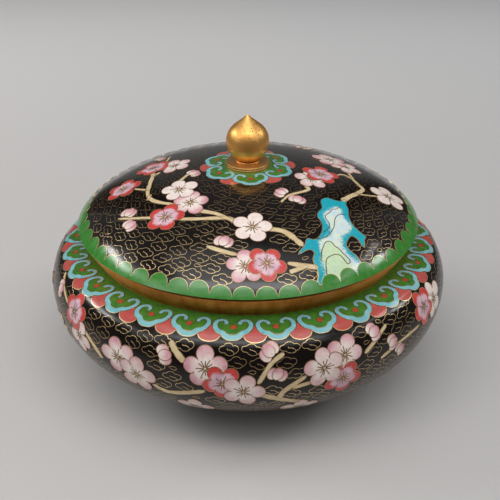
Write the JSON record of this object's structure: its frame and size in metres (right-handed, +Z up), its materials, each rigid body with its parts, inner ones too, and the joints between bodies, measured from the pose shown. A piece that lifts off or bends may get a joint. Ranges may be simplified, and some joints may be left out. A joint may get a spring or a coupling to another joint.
{
  "type": "lidded cloisonne trinket dish",
  "caption": "Squat round enamelled copper dish with plum-blossom cloisonne, a flared brass neck, a brass foot ring and a domed lid that lifts off by a turned brass bud knob.",
  "frame": {"origin": "middle of the foot ring's underside, on the surface that the dish stands on", "axes": "+Z up along the turning axis, -Y towards the side that the picture shows"},
  "size_m": [0.152, 0.152, 0.1035],
  "materials": {
    "bowl_enamel": "polished black cloisonne enamel on copper, with coloured cells between fine gilt wires",
    "lid_enamel": "polished black cloisonne enamel on copper, with coloured cells between fine gilt wires",
    "band_brass": "brown-gold brass with fine upright brushing and some tarnish",
    "knob_brass": "turned yellow brass, polished, with small dark pits near the point"
  },
  "bodies": {
    "root": {"bowl_body": "bowl_enamel", "foot_ring": "band_brass", "neck_ring": "band_brass", "lid_shell": "lid_enamel", "lid_rim": "band_brass", "knob": "knob_brass"}
  },
  "joints": []
}
